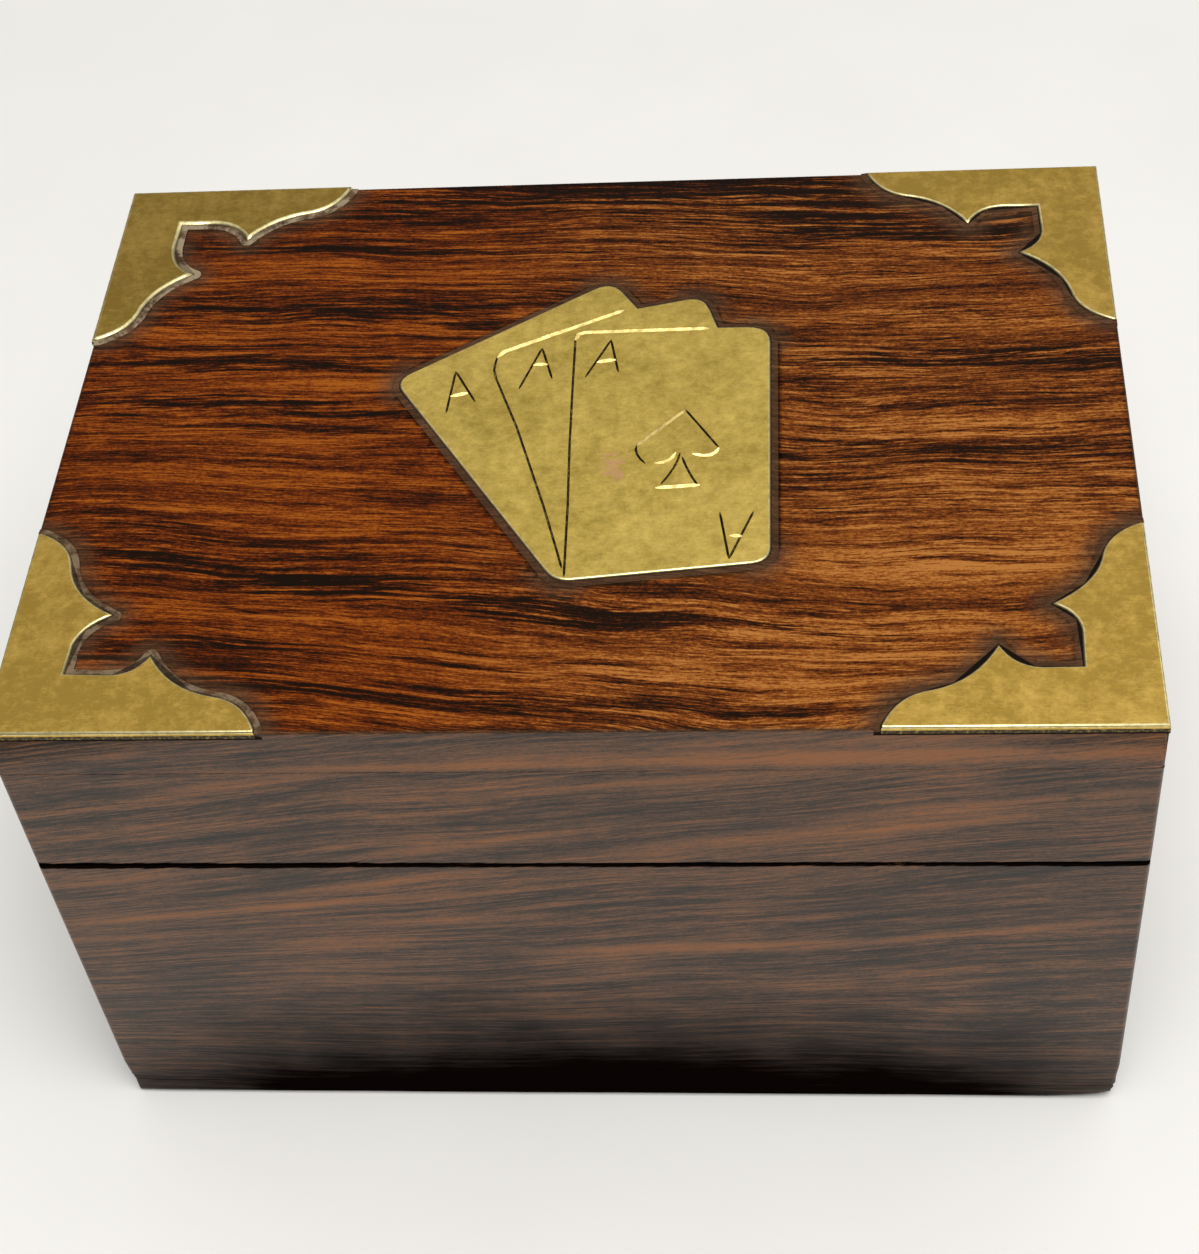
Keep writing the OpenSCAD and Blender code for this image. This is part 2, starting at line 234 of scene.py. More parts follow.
def copy_of(node, name):
    """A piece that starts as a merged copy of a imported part."""
    piece = bpy.data.objects.new(name, frame["nodes"][node].data.copy())
    bpy.context.scene.collection.objects.link(piece)
    piece.data.materials.clear()
    with editing(piece):
        bpy.ops.mesh.select_all(action="SELECT")
        bpy.ops.mesh.remove_doubles(threshold=MERGE)
        bpy.ops.mesh.dissolve_limited(angle_limit=math.radians(0.05))
    return piece


def round_edges(piece, width_of, segments=3):
    """Rounds each edge of a piece by the width that width_of gives for it."""
    shape = bmesh.new()
    shape.from_mesh(piece.data)
    widths = [width_of(edge) for edge in shape.edges]
    shape.free()
    widest = max(widths)
    mark(piece, "bevel_weight_edge", [width / widest for width in widths], "EDGE")
    apply_modifier(piece, "BEVEL", width=widest, segments=segments, limit_method="WEIGHT")
    piece.data.attributes.remove(piece.data.attributes["bevel_weight_edge"])


def round_corners(piece, width, segments):
    """Rounds the sharp edges of a piece alike."""
    apply_modifier(piece, "BEVEL", width=width, segments=segments, limit_method="ANGLE",
                   angle_limit=math.radians(50))


def smooth(piece, degrees=35):
    """Shades a piece smooth across its small edges, and keeps its broad faces flat."""
    pick(piece)
    bpy.ops.object.shade_smooth_by_angle(angle=math.radians(degrees))
    apply_modifier(piece, "WEIGHTED_NORMAL", keep_sharp=True)


def panel(context):
    """The sizes and the colours that the panel shows."""
    return context.scene.card_box_sizes, context.scene.card_box_colours


def finish_piece(piece, node, *materials):
    """Gives a piece its materials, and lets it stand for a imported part."""
    for material in materials:
        piece.data.materials.append(material)
    record = frame["record"]
    body = next(b for b, nodes in record["behaviour"]["bodies"].items() if node in nodes)
    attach(piece, body)
    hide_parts(node)


# --- Finishes ---


class Nodes:
    """Short calls for the shader nodes that the finishes share. Points are in mm."""

    def __init__(self, tree):
        self.tree = tree

    def put(self, socket, value):
        if isinstance(value, bpy.types.NodeSocket):
            self.tree.links.new(value, socket)
        else:
            socket.default_value = value

    def node(self, kind, inputs, output=0, **settings):
        node = self.tree.nodes.new("ShaderNode" + kind)
        for name, value in settings.items():
            setattr(node, name, value)
        for key, value in inputs.items():
            self.put(node.inputs[key], value)
        return node.outputs[output]

    def point(self):
        place = self.node("TexCoord", {}, output="Object")
        return self.stretch(place, (1 / MM,) * 3)

    def parts(self, point):
        """The x, y and z of a point."""
        return self.node("SeparateXYZ", {0: point}).node.outputs

    def join(self, x, y, z):
        return self.node("CombineXYZ", {0: x, 1: y, 2: z})

    def stretch(self, point, scale, shift=(0, 0, 0)):
        return self.node("Mapping", {"Vector": point, "Scale": scale, "Location": shift})

    def noise(self, point, scale=1.0, detail=2.0, roughness=0.5):
        return self.node("TexNoise", {
            "Vector": point, "Scale": scale, "Detail": detail, "Roughness": roughness})

    def about(self, value):
        """The same value, counted from its middle of a half."""
        return self.calc("SUBTRACT", value, 0.5)

    def calc(self, operation, *values):
        return self.node("Math", dict(enumerate(values)), operation=operation)

    def total(self, *terms):
        """The sum of (value, share) pairs."""
        result = self.calc("MULTIPLY", *terms[0])
        for value, share in terms[1:]:
            result = self.calc("MULTIPLY_ADD", value, share, result)
        return result

    def fade(self, value, start, end, low=0.0, high=1.0):
        """A smooth change from low at start to high at end."""
        if start > end:
            start, end, low, high = end, start, high, low
        return self.node("MapRange", {
            "Value": value, "From Min": start, "From Max": end, "To Min": low, "To Max": high,
        }, interpolation_type="SMOOTHSTEP")

    def mix(self, factor, a, b, how="MIX"):
        a, b = (v if isinstance(v, bpy.types.NodeSocket) else (*v, 1.0) for v in (a, b))
        sockets = {0: factor, 6: a, 7: b}
        return self.node("Mix", sockets, output=2, data_type="RGBA", blend_type=how)

    def ramp(self, factor, *stops):
        tint = self.node("ValToRGB", {"Fac": factor}, output="Color")
        elements = tint.node.color_ramp.elements
        while len(elements) < len(stops):
            elements.new(1.0)
        for element, (position, stop) in zip(elements, stops):
            element.position = position
            element.color = (*stop, 1.0)
        return tint

    def patch(self, point, centre, size, turn=0, rag=0.0):
        """1 inside an oval patch, falling to 0 at its border, which rag makes uneven."""
        inside = self.node("Mapping", {
            "Vector": point, "Location": centre, "Scale": size, "Rotation": (0, 0, math.radians(turn)),
        }, vector_type="TEXTURE")
        distance = self.node("VectorMath", {0: inside}, output="Value", operation="LENGTH")
        return self.fade(self.calc("ADD", distance, rag), 1.2, 0.4)



class Finish(Nodes):
    """A material with one shader."""

    def __init__(self, name, **constants):
        self.material = bpy.data.materials.new(name)
        self.material.use_nodes = True
        super().__init__(self.material.node_tree)
        self.shader = self.tree.nodes["Principled BSDF"]
        for socket, value in constants.items():
            self.shader.inputs[socket.replace("_", " ")].default_value = value

    def attribute(self, name):
        return self.node("Attribute", {}, output=2, attribute_name=name)

    def relief(self, height, depth_mm):
        bump = self.node("Bump", {"Height": height, "Distance": depth_mm * MM, "Strength": 1.0})
        self.put(self.shader.inputs["Normal"], bump)

    def close(self, base, roughness, **links):
        links = {"Base Color": base, "Roughness": roughness, **links}
        for name, value in links.items():
            self.put(self.shader.inputs[name.replace("_", " ")], value)
        return self.material


class Grain:
    """A board's grain. Its places are (along the grain, across it, into the board), in mm.

    The grain bends by sway, which is (height, share of length, shift), and by curl, which is a height
    on a shorter wave. lean gives how far it drifts across the board at (x, y).
    """

    def __init__(self, finish, order, sway, curl, lean, seed, coarse):
        f = self.f = finish
        parts = f.parts(f.point())
        x, y, z = self.x, self.y, self.z = [parts["XYZ".index(letter)] for letter in order]
        self.plain = f.join(x, y, z)
        height, along, shift = sway
        swaying = f.noise(f.stretch(self.plain, (along, 0.03, 0.02), shift), detail=1)
        curling = f.noise(f.stretch(self.plain, (0.045, 0.08, 0.05), (1, 2, 3)), detail=1)
        across = f.total((f.about(swaying), height), (f.about(curling), curl), (y, 1.0), (lean(x, y), 1.0))
        self.waved = f.join(x, f.total((f.about(curling), curl), (y, 1.0)), z)
        grain = f.join(x, across, z)
        self.broad = f.noise(f.stretch(grain, (0.008, 0.11, 0.07), (seed, 0, 0)))
        long = f.noise(f.stretch(grain, (0.011, 0.34, 0.2), (0, seed, 9)), detail=3, roughness=0.8)
        fine = f.noise(f.stretch(grain, (0.055, 1.5, 0.9), (5, 1, seed)), detail=4, roughness=0.85)
        self.streak = f.total((long, coarse), (fine, 1 - coarse))
        self.fleck = f.noise(f.stretch(grain, (0.45, 5.0, 4.0), (seed, 8, 70)), roughness=0.7)
        self.grit = f.noise(f.stretch(grain, (1.5, 3.2, 3.2), (9, seed, 2)), roughness=0.8)
        vein = f.noise(f.stretch(grain, (0.014, 0.26, 0.15), (3, 5, seed)), roughness=0.6)
        # A vein is thin and dark where its noise crosses a half, and the streaks break it up.
        from_half = f.calc("ABSOLUTE", f.about(vein))
        self.vein = f.calc("MULTIPLY", f.fade(from_half, 0.022, 0.002), f.fade(self.streak, 0.55, 0.46))
        self.rag = f.total((f.about(self.broad), 1.0), (f.about(self.streak), 6.0))

    def patches(self, rows, level, depth):
        """The strongest of several streaks around a level, which reach this deep from it."""
        result = 0.0
        for x, y, half_length, half_width, turn, strength in rows:
            size = (half_length, half_width, depth)
            patch = self.f.patch(self.waved, (x, y, level), size, turn, self.rag)
            result = self.f.calc("MAXIMUM", self.f.calc("MULTIPLY", patch, strength), result)
        return result


# Streaks of the lid board: centre, half length and half width in mm, turn in degrees, strength
TOP_BLACK = (
    (5, 53.0, 48, 5.2, -2, 0.9),
    (50, 44, 34, 6.4, -8, 0.85),
    (-33, 39.5, 34, 1.1, -4, 0.8),
    (-46, 25.5, 30, 2.4, -3, 0.9),
    (-19, 22.0, 7, 2.2, -12, 0.9),
    (-54, 15.0, 28, 2.1, -2, 0.85),
    (-42, 14.0, 7, 1.5, 4, 1.0),
    (-57, 6.5, 24, 2.4, -5, 0.9),
    (-40, 0.5, 36, 1.3, -5, 0.75),
    (-31, -30.0, 16, 2.5, -6, 0.95),
    (3, -35.5, 17, 2.2, -8, 1.0),
    (-3, -34.0, 48, 1.3, -8, 0.9),
    (-56, -24.5, 20, 1.6, -9, 0.8),
    (-44, -21.5, 26, 1.0, -10, 0.45),
    (-50, -42.0, 16, 3.6, -6, 0.7),
    (50, 12.5, 30, 2.0, 0, 0.75),
    (44, 3.5, 16, 1.0, 0, 0.6),
    (54, -4.5, 28, 2.2, 0, 0.7),
    (46, -35.5, 24, 1.0, 3, 0.35),
    (0, -50.5, 46, 1.7, -3, 0.6),
    (-34, -49.0, 18, 1.6, -6, 0.5),
)
TOP_WARM = (
    (-38, 36.0, 38, 3.4, -3, 0.8),
    (-38, 9.5, 28, 1.8, -3, 0.8),
    (-40, -9.0, 40, 7.5, -7, 0.8),
    (-25, -20.0, 26, 5.0, -10, 0.7),
    (52, -26.0, 32, 7.5, 0, 1.7),
    (-42, -35.0, 32, 4.0, -6, 1.3),
    (36, -38.0, 32, 4.0, 2, 1.3),
    (34, 31.5, 34, 3.6, -2, 0.6),
    (52, 22.0, 30, 5.0, -1, 0.9),
    (50, -1.0, 30, 4.5, 0, 0.9),
    (0, -44.5, 60, 5.0, -6, 1.0),
)
# Red streaks of the front, which run on from the lid to the base, as (x, height, ...)
FRONT_WARM = (
    (38, 69.5, 44, 1.7, 9, 0.8),
    (-14, 66.5, 26, 1.3, 12, 0.6),
    (58, 75.0, 24, 1.5, 7, 0.7),
    (10, 79.8, 34, 1.3, 6, 0.55),
    (-42, 80.2, 12, 1.1, 8, 0.9),
    (-66, 58.2, 17, 1.0, 8, 0.6),
    (-50, 50.6, 32, 0.9, 8, 1.0),
    (-26, 57.8, 24, 1.0, 10, 0.5),
    (-19, 48.2, 14, 1.1, 5, 0.9),
    (16, 41.4, 26, 1.3, 3, 1.0),
    (56, 45.2, 24, 1.1, 9, 0.9),
    (-62, 44.0, 16, 0.8, 6, 0.5),
    (44, 32.5, 32, 0.9, 4, 0.3),
    (60, 55.0, 20, 0.9, 8, 0.4),
)
# The same on the lid board's front edge
EDGE_WARM = (
    (34, 84.9, 52, 1.9, 0.5, 1.2),
    (-8, 83.6, 38, 1.0, 1.5, 1.0),
    (30, 88.0, 50, 1.5, 2, 0.45),
)


def lid_grain(f):
    """The lid board's grain, which drops to the right in the middle of the board, most near the front."""
    def lean(x, y):
        return f.calc("MULTIPLY", f.fade(x, -50, 42), f.fade(y, -40, 45, 9.0, 4.0))

    return Grain(f, "XYZ", (8.0, 0.018, (0, 0, 0)), 2.4, lean, 40, 0.32)


def wall_grain(f, order):
    """A wall's grain, which rises to the right, least near the foot."""
    def lean(x, y):
        return f.calc("MULTIPLY", x, f.fade(y, 5, 60, -0.01, -0.13))

    return Grain(f, order, (6.0, 0.014, (5, 5, 5)), 1.4, lean, 25, 0.25)


def lac_colour(f, grain, colours):
    """Lac is thin enough for the grain to show through it."""
    through = f.total((grain.streak, 2.6), (grain.fleck, 0.7), (grain.grit, 0.5), (1.0, -1.4))
    return f.ramp(through, *((stop, tuple(share * c for c in colours.lac))
                             for stop, share in ((0.1, 0.3), (0.5, 1.0), (0.9, 2.1))))


def top_wood(colours):
    """The lid board: orange-brown wood with ragged black streaks and grime around the inlays."""
    f = Finish("streaked rosewood", Specular_IOR_Level=0.15, Specular_Tint=(1, 0.62, 0.35, 1))
    grain = lid_grain(f)
    warm = grain.patches(TOP_WARM, 86, 40)
    black = grain.patches(TOP_BLACK, 86, 40)
    tone = f.total((grain.streak, 5.4), (grain.fleck, 1.3), (grain.grit, 1.2), (grain.broad, 0.5),
                   (grain.vein, -0.28), (warm, 0.26), (black, -0.48), (1.0, -3.76))
    base = f.ramp(tone, (0.0, colours.top_black), (0.22, colours.top_dark), (0.52, colours.top_mid),
                  (0.80, colours.top_warm), (1.0, colours.top_light))
    # Redder and darker to the left, and black along the outer edges, broken up by the flecks.
    base = f.mix(f.fade(grain.x, 15, -25), base, (0.76, 0.52, 0.20), "MULTIPLY")
    near_end, near_front = (f.fade(f.calc("ABSOLUTE", place), edge / MM - 0.8, edge / MM - 0.1)
                            for place, edge in ((grain.x, OUT_X), (grain.y, OUT_Y)))
    rubbed = f.fade(grain.fleck, 0.62, 0.42, 0.2, 0.9)
    border = f.calc("MULTIPLY", f.calc("MAXIMUM", near_end, near_front), rubbed)
    base = f.mix(border, base, colours.top_black)
    uneven = f.fade(f.noise(grain.plain, 0.6, 3, 0.7), 0.3, 0.65, 0.7, 1.1)
    stain = f.calc("MULTIPLY", f.attribute("lac_stain"), uneven)
    base = f.mix(stain, base, lac_colour(f, grain, colours))
    f.relief(f.total((grain.streak, 1.0), (grain.fleck, 0.5)), 0.05)
    return f.close(base, f.fade(grain.fleck, 0.3, 0.7, 0.40, 0.55))


def wall_wood(name, order, colours, streaks=()):
    """The walls: darker wood with thin red streaks, dull at the foot, with painted shade in black towards
    the foot and along the seam.
    """
    f = Finish(name, Specular_Tint=(1, 0.94, 0.86, 1))
    grain = wall_grain(f, order)
    cloud = f.noise(grain.plain, 0.045, 3)
    tone = f.total((grain.streak, 3.8), (grain.fleck, 1.0), (grain.grit, 0.7), (grain.broad, 0.5),
                   (cloud, 0.6), (grain.vein, -0.12), (1.0, -2.92))
    if streaks:
        tone = f.total((grain.patches(streaks, -55, 20), 0.55), (tone, 1.0))
    base = f.ramp(tone, (0.0, colours.wall_black), (0.25, colours.wall_dark), (0.55, colours.wall_mid),
                  (1.0, colours.wall_warm))
    # Painted shade: black towards the foot, least near the ends, standing in for the dark reflection there;
    # the polish's shine fades with it.
    from_middle = f.calc("POWER", f.calc("ABSOLUTE", grain.x), 2.0)
    height = f.total((grain.y, 1.0), (from_middle, 0.0031), (f.about(cloud), 16.0),
                     (f.about(grain.streak), 20.0))
    # Painted shade along the seam: black on the outer edges of both rims, more of it to the left.
    from_seam = f.calc("ABSOLUTE", f.calc("SUBTRACT", grain.y, (BASE_RIM + LID_RIM) / 2 / MM))
    outer = OUT_Y if order == "XZY" else OUT_X
    inside = f.calc("SUBTRACT", outer / MM, f.calc("ABSOLUTE", grain.z))
    reach = f.total((from_seam, 1.0), (inside, 0.45), (f.about(grain.streak), 1.5),
                    (f.fade(grain.x, -20, -60), -0.2))
    # polish is 1 on the polished wood and 0 where the painted shade is black, at the foot and along the
    # seam; it also sets the shine.
    polish = f.calc("MULTIPLY", f.fade(height, 9, 42), f.fade(reach, 0.42, 0.62))
    base = f.mix(polish, colours.wall_black, base)
    shine = f.calc("MULTIPLY", polish, f.fade(tone, 0.5, 1.0, 0.43, 0.26))
    f.relief(f.total((grain.streak, 1.0), (grain.fleck, 0.4)), 0.05)
    return f.close(base, f.fade(grain.fleck, 0.3, 0.7, 0.28, 0.42), Specular_IOR_Level=shine)


def end_grain(colours):
    """Sawn ends of the boards: dark, with the pores seen as dots, and painted shade in black at the foot.
    """
    f = Finish("rosewood end grain", Specular_IOR_Level=0.3)
    point = f.point()
    rings = f.noise(f.stretch(point, (0.5, 0.35, 0.9)), 0.8, 3)
    pores = f.noise(point, 3.2, 2)
    base = f.ramp(rings, (0.35, colours.wall_dark), (0.6, colours.wall_mid), (0.85, colours.wall_warm))
    base = f.mix(f.fade(pores, 0.56, 0.66, 0.0, 0.7), base, colours.wall_black)
    height = f.total((f.parts(point)[2], 1.0), (f.about(rings), 20.0))
    # Painted shade: black towards the foot, as on the walls.
    base = f.mix(f.fade(height, 32, 6, 0.0, 0.9), base, colours.wall_black)
    f.relief(pores, -0.05)
    return f.close(base, f.fade(rings, 0.3, 0.7, 0.45, 0.6))


def inlay_brass(colours, name, age, stained=False):
    """Old sheet brass: mottled olive and gold, brushed and scratched, and darkest at the back left, partly
    patina and partly painted shade.
    """
    f = Finish(name, Metallic=1.0)
    point = f.point()
    cloud = f.noise(point, 0.09, 3, 0.6)
    mottle = f.noise(point, 0.45, 6, 0.78)
    brushed = f.noise(f.stretch(point, (0.5, 9, 9)), 1, 3)
    scratch = f.noise(f.node("Mapping", {
        "Vector": point, "Rotation": (0, 0, 0.9), "Scale": (0.25, 12, 12)}), 1, 2)
    # Darker at the back left: partly patina, partly painted shade for the darker light on that plate.
    aged_and_shaded = f.patch(point, (-64, 44, 91), (40, 40, 20))
    tone = f.total((cloud, 1.6), (mottle, 2.6), (brushed, 0.4), (1.0, -1.8 - age))
    base = f.ramp(tone, (0.0, colours.brass_olive), (1.0, colours.brass_gold))
    base = f.mix(age, base, (0.85, 0.56, 0.42), "MULTIPLY")
    base = f.mix(aged_and_shaded, base, (0.76, 0.76, 0.76), "MULTIPLY")
    base = f.mix(f.fade(scratch, 0.66, 0.74, 0.0, 0.3), base, colours.brass_bright)
    if stained:
        ragged = f.total((f.about(f.noise(point, 1.3, 5, 0.8)), 8.0))
        spot = f.patch(point, (4.2, -8.6, 91), (1.3, 2.5, 4), 15, ragged)
        base = f.mix(f.calc("MULTIPLY", spot, 0.7), base, colours.brass_stain)
    f.relief(f.total((mottle, 1.0), (brushed, 0.25), (scratch, 0.15)), 0.06)
    return f.close(base, f.fade(tone, 0.0, 1.0, 0.46, 0.32))


def bright_brass(name, tint, roughness=0.24):
    """Brass that hands and files keep bright: plate edges, hinge leaves and screws."""
    f = Finish(name, Metallic=1.0)
    wear = f.noise(f.point(), 0.9, 4, 0.6)
    dull = tuple(0.62 * c for c in tint)
    f.relief(wear, 0.03)
    base = f.ramp(wear, (0.35, dull), (0.6, tint))
    return f.close(base, f.fade(wear, 0.3, 0.7, roughness + 0.14, roughness))


def tarnished_brass(colours):
    """Dark brass: tarnish in the cuts, and the darker lower part of the plates' sides."""
    f = Finish("tarnished brass", Metallic=0.6)
    wear = f.noise(f.point(), 1.6, 4, 0.7)
    base = f.mix(f.fade(wear, 0.45, 0.8), colours.brass_tarnish, colours.brass_olive)
    return f.close(base, f.fade(wear, 0.3, 0.7, 0.6, 0.45))


def lac_finish(name, colours, dust):
    """Lac with a black line painted along the brass as its shadow; paler, and with a fainter line, where
    dust is set in it.
    """
    f = Finish(name, Specular_IOR_Level=0.12, Specular_Tint=(1, 0.75, 0.5, 1))
    point = f.point()
    lump = f.noise(point, 0.9, 4, 0.7)
    base = lac_colour(f, lid_grain(f), colours)
    if dust:
        patchy = f.total((f.noise(point, 0.35, 4, 0.7), 1.0), (lump, 0.4))
        base = f.mix(f.fade(patchy, 0.6, 0.8, 0.1 * dust, dust), base, colours.dust)
    # Painted shadow: black where the lac meets the brass, less of it where there is dust.
    gap = f.total((f.attribute("brass_shadow_line"), 1.0), (f.about(lump), 0.15))
    base = f.mix(f.fade(gap, 0.84, 0.93, 0.0, 1 - 0.65 * dust), base, colours.wall_black)
    base = f.mix(f.fade(f.attribute("under_brass"), 0.4, 0.6), base, colours.wall_black)
    f.relief(lump, 0.15)
    return f.close(base, f.fade(lump, 0.3, 0.7, 0.5, 0.7))


def felt_finish(colours):
    f = Finish("felt", Sheen_Weight=0.2, Sheen_Roughness=0.5, Specular_IOR_Level=0.1)
    point = f.point()
    fuzz = f.noise(point, 3.4, 4, 0.7)
    patchy = f.noise(point, 0.12, 3)
    light = tuple(min(1, 1.9 * c) for c in colours.felt)
    dark = tuple(0.55 * c for c in colours.felt)
    base = f.ramp(f.total((fuzz, 0.7), (patchy, 0.3)), (0.35, dark), (0.52, colours.felt), (0.72, light))
    f.relief(fuzz, 0.25)
    return f.close(base, f.fade(fuzz, 0.3, 0.7, 0.85, 1.0))


# --- Wood ---


def outer_faces(at):
    """How many of the box's upright outer faces a point lies on."""
    return (abs(abs(at.x) - OUT_X) < TINY) + (abs(abs(at.y) - OUT_Y) < TINY)


def board_round(edge, sizes):
    """How far an edge of a board is rounded, by where it lies on the box."""
    at = middle(edge)
    outer = outer_faces(at)
    if outer == 2:
        return sizes.corner_round
    if outer and at.z < TINY:
        return sizes.foot_round
    if outer and at.z > WOOD_TOP - TINY:
        return sizes.top_round
    if abs(at.z - BASE_RIM) < TINY or abs(at.z - LID_RIM) < TINY:
        return sizes.rim_round
    return sizes.joint_round


def ripple(piece, along, height, cuts=30):
    """Divides a board along its length and ripples it, as hand planing leaves it."""
    def lengthwise(edge):
        span = edge.verts[1].co - edge.verts[0].co
        return abs(span[along]) > 0.8 * span.length and span.length > 20 * MM

    with editing(piece, "EDGE") as shape:
        select_where(shape, shape.edges, lengthwise)
        bpy.ops.mesh.subdivide(number_cuts=cuts)
    ruffle(piece, piece.name, 22 * MM, height)


def mark_ends(piece, along):
    """Gives the faces across the grain the second material."""
    for face in piece.data.polygons:
        face.material_index = int(abs(face.normal[along]) > 0.8)


def board(node, along, sizes):
    """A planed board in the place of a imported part."""
    low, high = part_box(node)
    piece = block(f"{node}_wood", low, high)
    round_edges(piece, lambda edge: board_round(edge, sizes))
    ripple(piece, along, sizes.ripple)
    return piece


def nudge(piece, inside, x=0.0, y=0.0, z=0.0):
    """Moves the vertices that pass a test, by millimetres."""
    with editing(piece, "VERT") as shape:
        select_where(shape, shape.verts, inside)
        bpy.ops.transform.translate(value=(x * MM, y * MM, z * MM))


def wear_foot(piece, lift):
    """Rubs the lower front corners in, and lifts the right one's underside."""
    for side in (-1, 1):
        for top, inward in ((9.1, 0.15), (6.1, 0.2), (4.1, 0.35), (1.6, 0.5)):
            nudge(piece, lambda v: v.co.z < top * MM and side * v.co.x > OUT_X - MM
                         and v.co.y < MM - OUT_Y, x=-side * inward, y=0.5 * inward)
    if lift:
        for reach, rise in ((10, 0.15), (7, 0.25), (4, 0.4), (2, 0.6)):
            nudge(piece, lambda v: v.co.z < 2.2 * MM and v.co.x > OUT_X - reach * MM
                         and v.co.y < reach * MM - OUT_Y, z=rise)


def house_divider(piece):
    """Cuts the housing that the divider's end slides into."""
    low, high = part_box("centre_divider")
    cut(piece, block("divider cutter", low, high))


def let_in_hinges(piece, lid):
    """Cuts the leaf mortises and the screws' pilot holes into a back wall."""
    kind, rim = ("lid", LID_RIM) if lid else ("base", BASE_RIM)
    leaf_t, gap, pilot_r = 1.0 * MM, 0.1 * MM, 0.85 * MM
    for hinge in HINGES:
        low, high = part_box(f"{hinge}_{kind}_leaf")
        cut(piece, block("mortise cutter", (low.x - gap, low.y - gap, rim - leaf_t),
                         (high.x + gap, OUT_Y + leaf_t, rim + leaf_t)))
        low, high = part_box(f"{hinge}_{kind}_screws")
        head = (high.y - low.y) / 2
        for x in (low.x + head, high.x - head):
            cut(piece, rod("pilot cutter", (x, low.y + head, low.z), pilot_r, high.z - low.z, upright=True))


class CARDBOX_OT_walls(bpy.types.Operator):
    """Model the wall boards of the base and the lid"""

    bl_idname = "cardbox.walls"
    bl_label = "Walls"

    def execute(self, context):
        sizes, colours = panel(context)
        front = wall_wood("rosewood front", "XZY", colours, FRONT_WARM)
        back = wall_wood("rosewood back", "XZY", colours)
        sides = wall_wood("rosewood sides", "YZX", colours)
        ends = end_grain(colours)
        for node in (*LONG_WALLS, *SHORT_WALLS):
            along = int(node in SHORT_WALLS)
            piece = board(node, along, sizes)
            if node in ("base_front_wall", "base_back_wall"):
                house_divider(piece)
            if "back" in node:
                let_in_hinges(piece, node.startswith("lid"))
            if node == "base_front_wall":
                cut_across(piece, 6 * MM, 9 * MM, axis=2)
                wear_foot(piece, lift=False)
            smooth(piece)
            mark_ends(piece, along)
            finish_piece(piece, node, sides if along else front if "front" in node else back, ends)
        return {"FINISHED"}


class CARDBOX_OT_floor_panel(bpy.types.Operator):
    """Model the board under the base, with its worn lower edges"""

    bl_idname = "cardbox.floor_panel"
    bl_label = "Floor panel"

    def execute(self, context):
        piece = board("floor_panel", 0, panel(context)[0])
        cut_across(piece, OUT_X - 8.5 * MM, OUT_X - 5.5 * MM, OUT_X - 3 * MM, axis=0)
        wear_foot(piece, lift=True)
        smooth(piece)
        mark_ends(piece, 0)
        finish_piece(piece, "floor_panel", bpy.data.materials["rosewood front"],
                     bpy.data.materials["rosewood end grain"])
        return {"FINISHED"}


class CARDBOX_OT_divider(bpy.types.Operator):
    """Model the divider with its finger scoop"""

    bl_idname = "cardbox.divider"
    bl_label = "Divider"

    def execute(self, context):
        piece = copy_of("centre_divider", "centre_divider_wood")
        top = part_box("centre_divider")[1].z
        soft = panel(context)[0].corner_round

        def width(edge):
            at = middle(edge)
            scoop = abs(at.x) > 0.5 * MM and at.z > FLOOR_TOP + TINY and abs(at.y) < OUT_Y - WALL
            return soft if scoop or at.z > top - TINY else 0.0

        round_edges(piece, width)
        smooth(piece)
        finish_piece(piece, "centre_divider", bpy.data.materials["rosewood sides"])
        return {"FINISHED"}


